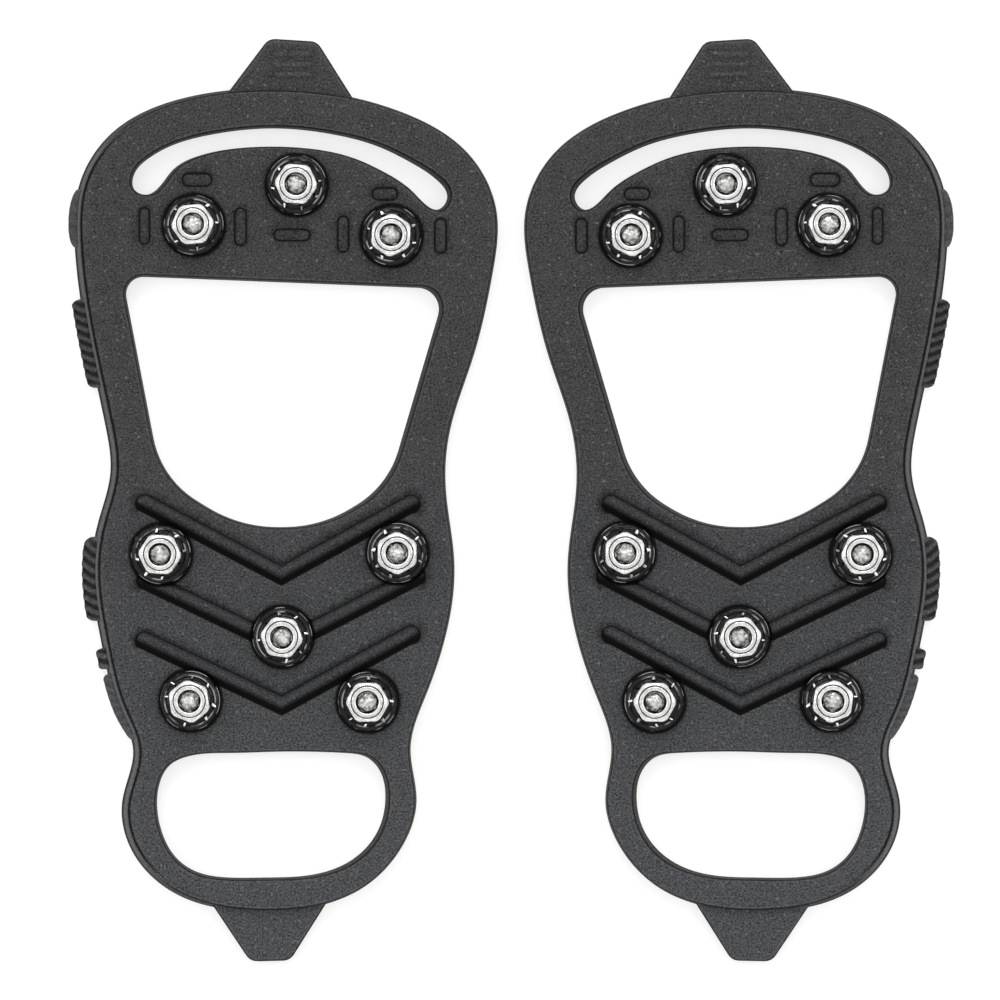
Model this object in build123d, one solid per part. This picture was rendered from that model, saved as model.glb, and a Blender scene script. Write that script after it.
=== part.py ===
from build123d import *
import os
from math import atan2, ceil, cos, degrees, hypot, radians, sin, tan

# A pair of stretch-on ice cleats, lying side by side on the shoe side with the studs up.
# Millimetres. +Z is up through the studs, +Y is towards the toe, +X is to the right.
# Origin: the floor point under the middle of the pair. The left cleat is drawn with its outer
# side at -X; the right cleat is its mirror image.

# ---- Overall sizes of one cleat ----
cleat_length = 214.8
cleat_width = 98.6
cleat_spacing = 106.4            # centre line to centre line of the two cleats

# The outlines below are drawn on a cleat of this size, and stretch with the overall sizes.
drawn_length = 214.8
drawn_width = 98.6

# ---- Rubber ----
plate_thickness = 5.0
tab_thickness = 3.4
outer_wall_draft = 1.3           # the outer side wall leans out by this, from top to floor
inner_wall_draft = 0.3
opening_draft = 0.9              # the openings' inner-side walls lean by this
top_edge_round = 0.5
rib_width = 3.6
rib_height = 1.3
pad_height = 3.6
pad_root = 2.0                   # how far a side pad reaches into the plate
pad_groove_width = 0.8
pad_groove_depth = 0.5
pad_groove_pitch = 2.1
capsule_depth = 0.45
capsule_line = 0.5               # width of the groove that outlines a capsule

# ---- Flex hinges: where the rubber bends ----
toe_hinge_y = 80.5               # on the cleat's centre line
toe_hinge_tilt = 3.0             # degrees, the inner end nearer the heel
arch_hinge_y = 17.0
loop_hinge_y = -66.0
flex_gap = 0.3                   # between the round nose and the square end that faces it

# ---- One stud: rivet, collar, toothed washer and hexagonal cap ----
shank_radius = 2.2
flange_radius = 5.5
flange_thickness = 1.0
shank_clearance = 0.05           # round the shank and the flange
collar_radius = 7.0
collar_height = 2.4
collar_shoulder = 1.6            # rounding of the collar's top edge
rib_clearance = 0.15             # between a collar and a rib that ends at it
washer_radius = 4.7
washer_thickness = 0.5
washer_tooth_radius = 6.3
washer_tooth_width = 1.2
washer_teeth = 8
tooth_twist = 16.0               # degrees, about the tooth's own length
tooth_clearance = 0.03           # between the teeth and the collar and cap
cap_across_flats = 9.1
cap_corner_radius = 4.95         # the hexagon's corners are turned down to this
cap_height = 3.6
cap_land_radius = 4.3
cap_land_height = 0.45
cap_ring_radius = 3.85           # flat ring on the cap's top
cap_chamfer_height = 0.75
dome_overhang = 0.25             # the peened end reaches this far over the cap, past the shank
dome_clearance = 0.2             # round the peened end, inside the recess
recess_radius = shank_radius + dome_overhang + dome_clearance
recess_depth = 1.0
dome_height = 0.7                # peened end of the rivet, inside the recess

big = 400.0                      # longer than a cleat: for cutting tools
longest_arcs = 0.98              # the most of a polygon's side that its two corner arcs take up

# Outer edge on the shoe side, from the toe's middle down the outer side and back.
PLATE_OUTLINE = [
    (-1.5, 95.9), (-24.0, 93.5), (-39.6, 85.8), (-47.3, 74.0), (-48.5, 59.0), (-45.3, 36.0),
    (-41.3, 17.0), (-40.2, 6.5), (-43.4, -6.5), (-44.4, -19.8), (-42.2, -33.8), (-38.0, -49.4),
    (-34.9, -58.1), (-37.4, -70.0), (-35.0, -82.1), (-24.8, -91.9), (-8.0, -95.9), (5.0, -95.3),
    (18.4, -90.6), (28.0, -80.5), (31.2, -69.9), (29.8, -58.0), (33.4, -45.5), (38.2, -30.8),
    (40.0, -14.5), (38.0, 3.0), (39.0, 16.2), (44.3, 33.0), (49.0, 53.2), (49.9, 67.0),
    (43.4, 80.6), (27.1, 90.7), (12.0, 94.7),
]

# Curved slot between the toe band and the crown of the forefoot plate.
SLOT_OUTLINE = [
    (-1.2, 86.6), (-17.0, 85.1), (-26.6, 82.3), (-31.3, 79.6), (-34.6, 76.0), (-34.6, 72.4),
    (-31.7, 71.2), (-28.8, 73.0), (-25.6, 77.0), (-19.1, 80.4), (-10.7, 82.0), (-1.9, 82.4),
    (5.6, 82.0), (16.0, 79.9), (23.4, 76.6), (30.1, 72.1), (33.2, 69.0), (36.1, 67.7),
    (38.3, 70.3), (35.9, 74.6), (30.3, 78.4), (21.9, 82.5), (12.3, 85.1),
]

# Middle line of the slot, end to end: the crown of the forefoot plate is under it.
SLOT_MIDDLE = [(-32.0, 74.4), (-22.4, 81.5), (-1.5, 84.4), (19.6, 81.0), (35.4, 71.0)]

# Opening inside the heel loop.
HEEL_OPENING_OUTLINE = [
    (-22.5, -59.9), (-12.0, -59.0), (-1.6, -58.7), (14.6, -59.0), (19.6, -60.0), (22.6, -63.1),
    (23.9, -69.7), (22.6, -76.1), (19.0, -81.5), (14.0, -85.1), (7.1, -87.3), (-4.5, -88.0),
    (-14.0, -87.9), (-20.4, -86.5), (-24.9, -83.3), (-28.2, -77.3), (-29.3, -71.0), (-28.5, -65.4),
    (-26.4, -61.9),
]

# Corners of the big opening under the arch, each with its rounding radius.
ARCH_OPENING_CORNERS = [
    (-37.4, 52.2, 4.0), (38.0, 49.2, 5.0), (24.5, 3.3, 22.0), (8.7, -6.3, 30.0),
    (-10.0, -6.3, 31.0), (-28.3, 4.9, 22.0),
]

# Corners of the pull tabs. The first and last are inside the band that the tab grows from.
TOE_TAB_CORNERS = [(-15.1, 91.5, 0.5), (-3.2, 107.4, 3.0), (8.1, 106.7, 3.0), (17.7, 91.5, 0.5)]
HEEL_TAB_CORNERS = [(12.0, -91.0, 0.5), (1.8, -107.2, 3.0), (-7.5, -107.4, 3.0), (-18.4, -91.0, 0.5)]

# Studs: name, centre x and y, and how far the cap and washer are turned, in degrees.
FOREFOOT_STUDS = [("toe", 3.4, 73.2, 55), ("ball_outer", -20.5, 63.9, 5), ("ball_inner", 25.4, 61.4, 26)]
HEEL_STUDS = [
    ("front_outer", -28.1, -12.6, 56), ("front_inner", 26.8, -12.3, 30), ("middle", 0.1, -31.8, 52),
    ("rear_outer", -21.3, -46.6, 38), ("rear_inner", 19.9, -46.8, 0),
]

# Raised V ribs on the heel plate: outer end, apex, inner end.
RIBS = [
    ((-32.0, -0.9), (-0.2, -17.7), (30.0, -1.0)),
    ((-31.7, -18.9), (0.0, -34.2), (31.2, -18.0)),
    ((-32.0, -32.8), (-0.1, -47.9), (30.0, -31.4)),
]

# Shallow outlined capsules on the forefoot plate: centre x, y, then length along x and y.
CAPSULES = [
    (-32.0, 63.7, 2.8, 8.9), (-9.7, 63.5, 3.1, 9.1), (2.3, 61.6, 8.8, 3.1), (14.2, 61.8, 3.0, 8.8),
    (36.8, 61.4, 3.1, 8.5), (-19.8, 74.4, 7.3, 3.4), (23.9, 71.1, 6.3, 3.2),
]

# Grip pads on the outer side wall: toe end, heel end, how far it stands out, grooved or not.
SIDE_PADS = [
    (70.2, 58.7, 1.5, False), (46.9, 26.0, 2.4, True), (-8.4, -28.4, 2.6, True),
    (-34.4, -39.6, 1.9, True), (-40.4, -54.6, 1.5, True),
]

stretch_x = cleat_width / drawn_width
stretch_y = cleat_length / drawn_length
plate_top = plate_thickness
mid_height = plate_thickness / 2


def at(x, y):
    """A drawn point, on the cleat's real size."""
    return (x * stretch_x, y * stretch_y)


def flare(points, outer, inner, ends):
    """Move an outline's outer side, inner side and two ends outwards, and the rest in proportion."""
    xs = [p[0] for p in points]
    ys = [p[1] for p in points]
    span_x = max(xs) - min(xs)
    span_y = max(ys) - min(ys)
    moved = []
    for point in points:
        across = (point[0] - min(xs)) / span_x
        along = (point[1] - min(ys)) / span_y
        x = point[0] - outer + across * (outer + inner)
        y = point[1] - ends + along * 2 * ends
        moved.append((x, y) + tuple(point[2:]))
    return moved


def smooth_face(points):
    """A face inside one smooth closed curve."""
    return make_face(Spline(*points, periodic=True))


def sides_of(corners, i):
    """One corner of a polygon, and the directions from it to the corners before and after it."""
    corner = Vector(*corners[i][:2])
    before = Vector(*corners[i - 1][:2]) - corner
    after = Vector(*corners[(i + 1) % len(corners)][:2]) - corner
    return corner, before, after


def arc_reach(corners, i):
    """How far the arc that rounds one corner reaches along its sides."""
    corner, before, after = sides_of(corners, i)
    return corners[i][2] / tan(radians(before.get_angle(after)) / 2)


def radius_share(corners):
    """1, or less where two neighbouring arcs wouldn't both fit on the side between them."""
    shares = [1]
    for i in range(len(corners)):
        side = sides_of(corners, i)[1].length
        shares.append(longest_arcs * side / (arc_reach(corners, i - 1) + arc_reach(corners, i)))
    return min(shares)


def rounded_face(corners):
    """A face inside a polygon with rounded corners."""
    share = radius_share(corners)
    arcs = []
    for i, (x, y, radius) in enumerate(corners):
        corner, before, after = sides_of(corners, i)
        before = before.normalized()
        after = after.normalized()
        reach = arc_reach(corners, i) * share
        depth = hypot(reach, radius * share) - radius * share
        middle = corner + (before + after).normalized() * depth
        arcs.append(ThreePointArc(corner + before * reach, middle, corner + after * reach))
    straights = [Line(arcs[i - 1] @ 1, arc @ 0) for i, arc in enumerate(arcs)]
    return make_face(arcs + straights)


def drafted(face_of, points, top_points):
    """A prism from the floor to the plate's top, between two outlines."""
    bottom = face_of(points)
    top = Pos(0, 0, plate_thickness) * face_of(top_points)
    return loft([bottom, top], ruled=True)


def sized(points):
    """Drawn points, or corners with a radius, on the cleat's real size."""
    return [at(p[0], p[1]) + tuple(p[2:]) for p in points]


def opening(face_of, points):
    """The hole left by one drafted opening."""
    real = sized(points)
    return drafted(face_of, real, flare(real, 0, opening_draft, inner_wall_draft))


def tab(corners):
    return extrude(rounded_face(sized(corners)), tab_thickness)


def side_pad(outline, toe_end, heel_end, stand_out, grooved):
    """One grip pad along the outer wall, below the top edge."""
    strip = Pos(-stand_out, 0) * outline - Pos(pad_root, 0) * outline
    pad = extrude(strip, pad_height)
    toe_y = at(0, toe_end)[1]
    heel_y = at(0, heel_end)[1]
    width = big / 2
    window = Pos(-width / 2, (toe_y + heel_y) / 2, 0) * Box(width, toe_y - heel_y, big)
    pad = pad & window
    if grooved:
        pad = pad - pad_grooves(outline, toe_y, heel_y, stand_out)
    return pad


def wall_x(outline, y):
    """Where the outer wall is at a given y, on the shoe side."""
    line = Edge.make_line((-big, y), (0, y))
    return min(piece.bounding_box().min.X for piece in outline.intersect(line))


def pad_grooves(outline, toe_y, heel_y, stand_out):
    """Upright grooves down a pad, evenly spaced."""
    count = ceil((toe_y - heel_y) / pad_groove_pitch) - 1
    step = (toe_y - heel_y) / (count + 1)
    grooves = []
    for i in range(count):
        y = heel_y + (i + 1) * step
        face_x = wall_x(outline, y) - stand_out
        cutter = Box(2 * pad_groove_depth, pad_groove_width, big)
        grooves.append(Pos(face_x, y, 0) * cutter)
    return Compound(grooves)


def rib_arm(start, end):
    """One straight arm of a rib, round in section and at its ends, sunk into the plate."""
    half = rib_width / 2
    radius = (half ** 2 + rib_height ** 2) / (2 * rib_height)
    length = hypot(end[0] - start[0], end[1] - start[1])
    turn = degrees(atan2(end[1] - start[1], end[0] - start[0]))
    middle = Pos((start[0] + end[0]) / 2, (start[1] + end[1]) / 2, plate_top + rib_height - radius)
    arm = middle * Rot(0, 0, turn) * Rot(0, 90, 0) * Cylinder(radius, length)
    for x, y in (start, end):
        arm = arm + Pos(x, y, plate_top + rib_height - radius) * Sphere(radius)
    return arm


def ribs():
    """The V ribs, cut back where a collar stands."""
    shape = Part()
    for outer_end, apex, inner_end in RIBS:
        shape = shape + rib_arm(at(*outer_end), at(*apex)) + rib_arm(at(*apex), at(*inner_end))
    for name, x, y, turn in HEEL_STUDS:
        room = Cylinder(collar_radius + rib_clearance, big, align=(Align.CENTER, Align.CENTER, Align.MIN))
        shape = shape - Pos(*at(x, y), plate_top) * room
    return shape


def capsule_face(size_x, size_y, inset):
    """A capsule, long along x or y, drawn in by an inset."""
    width = min(size_x, size_y) - 2 * inset
    length = max(size_x, size_y) - 2 * inset
    turn = 90 if size_y > size_x else 0
    return Rot(0, 0, turn) * SlotOverall(length, width)


def capsule_grooves():
    """The shallow outlines of the capsules."""
    grooves = []
    for x, y, size_x, size_y in CAPSULES:
        ring = capsule_face(size_x, size_y, 0) - capsule_face(size_x, size_y, capsule_line)
        grooves.append(Pos(*at(x, y), plate_top - capsule_depth) * extrude(ring, 2 * capsule_depth))
    return Compound(grooves)


def stud_holes(studs):
    """A hole for each shank, with a counterbore on the shoe side for the rivet's flange."""
    holes = []
    for name, x, y, turn in studs:
        shank = Cylinder(shank_radius + shank_clearance, big)
        flange = Cylinder(flange_radius + shank_clearance, 2 * flange_thickness)
        holes.append(Pos(*at(x, y)) * (shank + flange))
    return holes


def whole_plate():
    """The rubber of one cleat in one piece, before it is parted at the flex hinges."""
    outline = sized(PLATE_OUTLINE)
    top_outline = flare(outline, -outer_wall_draft, -inner_wall_draft, -inner_wall_draft)
    body = drafted(smooth_face, outline, top_outline)
    body = fillet(body.edges().group_by(Axis.Z)[-1], top_edge_round)
    for pad in SIDE_PADS:
        body = body + side_pad(smooth_face(outline), *pad)
    body = body + tab(TOE_TAB_CORNERS) + tab(HEEL_TAB_CORNERS)
    body = body - opening(smooth_face, SLOT_OUTLINE)
    body = body - opening(rounded_face, ARCH_OPENING_CORNERS)
    body = body - opening(smooth_face, HEEL_OPENING_OUTLINE)
    return body


def beyond(y, tilt, direction, offset):
    """Everything past a hinge line, towards the toe (+1) or the heel (-1)."""
    slab = Box(big, big, big, align=(Align.CENTER, Align.MIN, Align.CENTER))
    turned = slab if direction > 0 else Rot(0, 0, 180) * slab
    return Pos(0, y) * Rot(0, 0, -tilt) * Pos(0, offset) * turned


def nose(plate, y, tilt):
    """The round end of the piece that bends, about the hinge line at mid thickness."""
    roll = Pos(0, y, mid_height) * Rot(0, 0, -tilt) * Rot(0, 90, 0) * Cylinder(mid_height, big)
    return plate & roll


def crown_zone():
    """The room under the slot's middle line, which holds the crown of the forefoot plate."""
    points = [at(x, y) for x, y in SLOT_MIDDLE]
    face = make_face([Spline(*points), Line(points[-1], points[0])])
    return Pos(0, 0, -big / 2) * extrude(face, big)


def rubber_pieces():
    """The four pieces of rubber, by name."""
    plate = whole_plate()
    toe_y = at(0, toe_hinge_y)[1]
    arch_y = at(0, arch_hinge_y)[1]
    loop_y = at(0, loop_hinge_y)[1]
    back_off = mid_height + flex_gap
    toe_band = (plate & beyond(toe_y, toe_hinge_tilt, 1, 0)) + nose(plate, toe_y, toe_hinge_tilt)
    forefoot = plate & beyond(toe_y, toe_hinge_tilt, -1, -back_off)
    forefoot = (forefoot + (plate & crown_zone())) & beyond(arch_y, 0, 1, back_off)
    toe_band = toe_band - crown_zone()
    heel = (plate & beyond(arch_y, 0, -1, 0)) + nose(plate, arch_y, 0)
    heel = heel & beyond(loop_y, 0, 1, back_off)
    heel_loop = (plate & beyond(loop_y, 0, -1, 0)) + nose(plate, loop_y, 0)
    forefoot = forefoot - capsule_grooves()
    heel = heel + ribs()
    for hole in stud_holes(FOREFOOT_STUDS):
        forefoot = forefoot - hole
    for hole in stud_holes(HEEL_STUDS):
        heel = heel - hole
    return {
        "toe_band": toe_band,
        "forefoot_sole": forefoot,
        "heel_sole": heel,
        "heel_loop": heel_loop,
    }


def rivet():
    """Flange let into the shoe side, shank, and a domed peened end."""
    shank_top = plate_top + collar_height + washer_thickness + cap_height - recess_depth
    bottom = (Align.CENTER, Align.CENTER, Align.MIN)
    body = Cylinder(flange_radius, flange_thickness, align=bottom)
    body = body + Cylinder(shank_radius, shank_top, align=bottom)
    dome_radius = shank_radius + dome_overhang
    ball_radius = (dome_radius ** 2 + dome_height ** 2) / (2 * dome_height)
    ball = Pos(0, 0, shank_top + dome_height - ball_radius) * Sphere(ball_radius)
    above = Pos(0, 0, shank_top) * Cylinder(dome_radius, dome_height, align=bottom)
    return body + (ball & above)


def collar():
    """Round collar with a flat top and a rounded shoulder."""
    bottom = (Align.CENTER, Align.CENTER, Align.MIN)
    body = Cylinder(collar_radius, collar_height, align=bottom)
    body = fillet(body.edges().group_by(Axis.Z)[-1], collar_shoulder)
    return Pos(0, 0, plate_top) * (body - Cylinder(shank_radius + shank_clearance, big))


def tooth_washer():
    """Flat ring with twisted teeth round its edge."""
    base = plate_top + collar_height
    bottom = (Align.CENTER, Align.CENTER, Align.MIN)
    body = Cylinder(washer_radius, washer_thickness, align=bottom)
    root = cap_land_radius + tooth_clearance
    length = washer_tooth_radius - root
    half_rise = washer_tooth_width / 2 * sin(radians(tooth_twist))
    half_rise = half_rise + washer_thickness / 2 * cos(radians(tooth_twist))
    for i in range(washer_teeth):
        tooth = Box(length, washer_tooth_width, washer_thickness)
        place = Pos(root + length / 2, 0, half_rise + tooth_clearance)
        body = body + Rot(0, 0, 360 * i / washer_teeth) * place * Rot(tooth_twist, 0, 0) * tooth
    bore = Cylinder(shank_radius + shank_clearance, big)
    return Pos(0, 0, base) * (body - bore)


def stud_cap():
    """Hexagonal cap with a chamfered top, a flat ring and a recess round the rivet's end."""
    bottom = (Align.CENTER, Align.CENTER, Align.MIN)
    base = plate_top + collar_height + washer_thickness
    hexagon = RegularPolygon(cap_across_flats / 2, 6, major_radius=False)
    upper = Pos(0, 0, cap_land_height) * extrude(hexagon, cap_height - cap_land_height)
    cone_start = cap_height - cap_chamfer_height
    cone = Cone(cap_corner_radius, cap_ring_radius, cap_chamfer_height, align=bottom)
    cone = Pos(0, 0, cone_start) * cone
    column = Cylinder(cap_corner_radius, cone_start, align=bottom)
    body = (upper & (column + cone)) + Cylinder(cap_land_radius, cap_land_height, align=bottom)
    recess = Pos(0, 0, cap_height - recess_depth) * Cylinder(recess_radius, cap_height, align=bottom)
    bore = Cylinder(shank_radius + shank_clearance, big)
    return Pos(0, 0, base) * (body - recess - bore)


def stud_places(studs):
    """Where each stud stands, and how it is turned."""
    return [Pos(*at(x, y)) * Rot(0, 0, turn) for name, x, y, turn in studs]


def copies(piece, studs):
    """The same piece at each stud, as separate solids of one node."""
    return Compound([place * piece for place in stud_places(studs)])


def cleat_pieces():
    """Every piece of one cleat, by name, at the cleat's own centre."""
    pieces = rubber_pieces()
    for zone, studs in (("forefoot", FOREFOOT_STUDS), ("heel", HEEL_STUDS)):
        pieces[zone + "_rivets"] = copies(rivet(), studs)
        pieces[zone + "_collars"] = copies(collar(), studs)
        pieces[zone + "_tooth_washers"] = copies(tooth_washer(), studs)
        for stud, place in zip(studs, stud_places(studs)):
            pieces["stud_cap_" + stud[0]] = place * stud_cap()
    return pieces


def write_parts():
    os.makedirs("parts", exist_ok=True)
    for name, piece in cleat_pieces().items():
        left = Pos(-cleat_spacing / 2, 0, 0) * piece
        right = mirror(left, about=Plane.YZ)
        export_step(left, "parts/left_" + name + ".step")
        export_step(right, "parts/right_" + name + ".step")


write_parts()
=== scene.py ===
import math

import bmesh
import bpy
import numpy as np
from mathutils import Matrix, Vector, noise
from mathutils.geometry import delaunay_2d_cdt


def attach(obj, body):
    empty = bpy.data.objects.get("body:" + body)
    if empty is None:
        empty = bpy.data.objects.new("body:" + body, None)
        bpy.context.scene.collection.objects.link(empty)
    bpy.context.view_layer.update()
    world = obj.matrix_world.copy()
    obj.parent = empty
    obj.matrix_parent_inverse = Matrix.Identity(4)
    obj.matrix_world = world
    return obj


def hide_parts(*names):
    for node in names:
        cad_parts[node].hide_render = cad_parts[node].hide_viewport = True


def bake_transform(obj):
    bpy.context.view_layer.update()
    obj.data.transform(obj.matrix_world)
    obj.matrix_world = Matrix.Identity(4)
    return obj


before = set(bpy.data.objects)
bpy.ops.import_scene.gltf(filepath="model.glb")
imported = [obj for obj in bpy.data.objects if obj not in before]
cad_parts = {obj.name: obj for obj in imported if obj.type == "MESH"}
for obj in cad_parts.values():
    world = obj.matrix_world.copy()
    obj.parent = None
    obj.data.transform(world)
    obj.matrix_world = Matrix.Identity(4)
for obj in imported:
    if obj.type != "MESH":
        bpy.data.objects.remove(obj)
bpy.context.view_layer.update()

MM = 0.001
SPACING = 106.4                  # centre line to centre line of the two cleats
THICK = 5.0                      # rubber plate
TAB_THICK = 3.4
LOW_FOOT = 0.06                  # the tabs' and side pads' undersides, so that they don't meet the plate's
WALL_LEAN_OUTER = 1.3            # the outer wall leans out from top to floor
WALL_LEAN_INNER = 0.4
OPENING_LEAN = 0.35              # the openings' walls lean in by this
OPENING_LEAN_INNER = 0.75        # and by this much more at their inner side
EDGE_DROP = 0.45                 # how far below the top a rounded edge ends
# Spacing of points: along edges, along finer edges, then on the ribbed top, the tabs' tops,
# the tabs' undersides and the plate's underside.
EDGE_STEP = 0.8
FINE_EDGE_STEP = 0.6
GRID = 1.7
TAB_GRID = 1.2
TAB_UNDER_GRID = 2.0
PLAIN_GRID = 2.4

TOE_HINGE_Y = 80.5
TOE_TILT = math.radians(3)       # the hinge's inner end is nearer the heel
TOE_SEAM = -7.3                  # from the hinge line, through the ends of the slot
TOE_BEND = (-7.0, 7.5)           # where the bend starts and ends, from the hinge line
ARCH_BEND = (30.0, 4.0)          # y where the bend starts and ends
LOOP_SEAM_Y = -56.6
LOOP_BEND = (-57.0, -75.0)

PLATE_OUTLINE = [
    (-1.5, 95.9), (-24.0, 93.5), (-39.6, 85.8), (-47.3, 74.0), (-48.5, 59.0), (-45.3, 36.0),
    (-41.3, 17.0), (-40.2, 6.5), (-43.4, -6.5), (-44.4, -19.8), (-42.2, -33.8), (-38.0, -49.4),
    (-34.9, -58.1), (-37.4, -70.0), (-35.0, -82.1), (-24.8, -91.9), (-8.0, -95.9), (5.0, -95.3),
    (18.4, -90.6), (28.0, -80.5), (31.2, -69.9), (29.8, -58.0), (33.4, -45.5), (38.2, -30.8),
    (40.0, -14.5), (38.0, 3.0), (39.0, 16.2), (44.3, 33.0), (49.0, 53.2), (49.9, 67.0),
    (43.4, 80.6), (27.1, 90.7), (12.0, 94.7),
]
SLOT_OUTLINE = [
    (-1.2, 86.6), (-17.0, 85.1), (-26.6, 82.3), (-31.3, 79.6), (-34.6, 76.0), (-34.6, 72.4),
    (-31.7, 71.2), (-28.8, 73.0), (-25.6, 77.0), (-19.1, 80.4), (-10.7, 82.0), (-1.9, 82.4),
    (5.6, 82.0), (16.0, 79.9), (23.4, 76.6), (30.1, 72.1), (33.2, 69.0), (36.1, 67.7),
    (38.3, 70.3), (35.9, 74.6), (30.3, 78.4), (21.9, 82.5), (12.3, 85.1),
]
SLOT_MIDDLE = [(-32.0, 74.4), (-22.4, 81.5), (-1.5, 84.4), (19.6, 81.0), (35.4, 71.0)]
HEEL_OPENING_OUTLINE = [
    (-22.5, -59.9), (-12.0, -59.0), (-1.6, -58.7), (14.6, -59.0), (19.6, -60.0), (22.6, -63.1),
    (23.9, -69.7), (22.6, -76.1), (19.0, -81.5), (14.0, -85.1), (7.1, -87.3), (-4.5, -88.0),
    (-14.0, -87.9), (-20.4, -86.5), (-24.9, -83.3), (-28.2, -77.3), (-29.3, -71.0), (-28.5, -65.4),
    (-26.4, -61.9),
]
# Corners with their rounding radius.
ARCH_OPENING_CORNERS = [
    (-37.4, 52.2, 4.0), (38.0, 49.2, 5.0), (24.5, 3.3, 22.0), (8.7, -6.3, 30.0),
    (-10.0, -6.3, 31.0), (-28.3, 4.9, 22.0),
]
TOE_TAB_CORNERS = [(-16.7, 89.5, 2.0), (-3.2, 107.4, 3.0), (8.1, 106.7, 3.0), (18.9, 89.5, 2.0)]
HEEL_TAB_CORNERS = [(12.9, -89.6, 2.0), (1.8, -107.2, 3.0), (-7.5, -107.4, 3.0), (-19.4, -89.6, 2.0)]
TOE_GRIP_PLACES = [99.0, 101.4, 103.8]
GRIP_SIZE = (9.6, 1.4)

# Studs: name, centre x and y, and how far the cap and washer are turned, in degrees.
FOREFOOT_STUDS = [("toe", 3.4, 73.2, 55), ("ball_outer", -20.5, 63.9, 5), ("ball_inner", 25.4, 61.4, 26)]
HEEL_STUDS = [
    ("front_outer", -28.1, -12.6, 56), ("front_inner", 26.8, -12.3, 30), ("middle", 0.1, -31.8, 52),
    ("rear_outer", -21.3, -46.6, 38), ("rear_inner", 19.9, -46.8, 0),
]
# V ribs: outer end, apex, inner end.
RIBS = [
    ((-32.0, -0.9), (-0.2, -17.7), (30.0, -1.0)),
    ((-31.7, -18.9), (0.0, -34.2), (31.2, -18.0)),
    ((-32.0, -32.8), (-0.1, -47.9), (30.0, -31.4)),
]
# Shallow outlined capsules: centre x, y, then length along x and y.
CAPSULES = [
    (-32.0, 63.7, 2.8, 8.9), (-9.7, 63.5, 3.1, 9.1), (2.3, 61.6, 8.8, 3.1), (14.2, 61.8, 3.0, 8.8),
    (36.8, 61.4, 3.1, 8.5), (-19.8, 74.4, 7.3, 3.4), (23.9, 71.1, 6.3, 3.2),
]
# Grip pads on the outer wall: toe end and heel end, how far it stands out at the floor, then its ribs:
# how many, their slant and their depth. Last, the shares of its length over which its ends taper.
SIDE_PADS = [
    (72.5, 58.7, 1.5, 5, 0.1, 0.15, 0.5, 0.35), (46.9, 26.0, 2.4, 9, 0.22, 0.6, 0.06, 0.1),
    (-8.4, -28.4, 2.6, 8, 0.22, 0.6, 0.14, 0.1), (-34.4, -39.6, 1.9, 2, 0.1, 0.6, 0.15, 0.15),
    (-40.4, -56.0, 1.5, 8, 0.1, 0.2, 0.08, 0.5),
]
PAD_HEIGHT = 3.6
PAD_ROOT = 2.4                   # how far a pad reaches into the plate
PAD_STEP = 0.22                  # spacing of points along a pad

COLLAR_RADIUS = 7.0
COLLAR_HEIGHT = 2.4
WASHER_THICK = 0.5
WASHER_HOLE = 2.5
WASHER_RADIUS = 4.7
WASHER_TEETH = 8
TOOTH_KINK = 5.2                 # radius where a tooth starts to turn aside
CAP_BASE = THICK + COLLAR_HEIGHT + WASHER_THICK
CAP_FLAT = 4.55                  # centre of the hexagon to its flats
CAP_CORNER = 4.95                # centre to its turned-down corners
CAP_RING = 3.85                  # centre to where its cone would meet its top
CAP_CONE_START = 2.85            # heights from the cap's base
CAP_TOP = 3.6
CAP_FLOOR = 2.6                  # floor of its recess
CAP_LAND = 4.3                   # radius of the round land that it stands on
CAP_LAND_HEIGHT = 0.45
SHANK_RADIUS = 2.2
FLANGE_RADIUS = 5.5
POCKET_RADIUS = 5.55
FLANGE_THICK = 1.0
RIB_HALF_WIDTH = 1.7
RIB_HEIGHT = 1.3


# ---- Outlines ----

def resample(points, step):
    """Evenly spaced points round a closed run of points."""
    closed = np.vstack([points, points[:1]])
    along = np.concatenate([[0], np.cumsum(np.hypot(*np.diff(closed, axis=0).T))])
    count = max(8, int(round(along[-1] / step)))
    wanted = np.linspace(0, along[-1], count, endpoint=False)
    return np.column_stack([np.interp(wanted, along, closed[:, axis]) for axis in (0, 1)])


def smooth_loop(points, step=EDGE_STEP):
    """A closed loop through the points, smooth in slope and curvature."""
    p = np.array(points, float)
    count = len(p)
    after = np.roll(p, -1, axis=0)
    gap = np.hypot(*(after - p).T)
    matrix = np.zeros((count, count))
    for i in range(count):
        matrix[i, i - 1] += gap[i - 1]
        matrix[i, i] += 2 * (gap[i - 1] + gap[i])
        matrix[i, (i + 1) % count] += gap[i]
    slope = (after - p) / gap[:, None]
    bend = np.linalg.solve(matrix, 6 * (slope - np.roll(slope, 1, axis=0)))
    fine = []
    for i in range(count):
        s = np.linspace(0, gap[i], 24, endpoint=False)[:, None]
        r = gap[i] - s
        end_bend = bend[(i + 1) % count]
        curve = (bend[i] * r ** 3 + end_bend * s ** 3) / (6 * gap[i])
        curve = curve + (p[i] / gap[i] - bend[i] * gap[i] / 6) * r
        fine.append(curve + (after[i] / gap[i] - end_bend * gap[i] / 6) * s)
    return turned_left(resample(np.vstack(fine), step))


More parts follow.
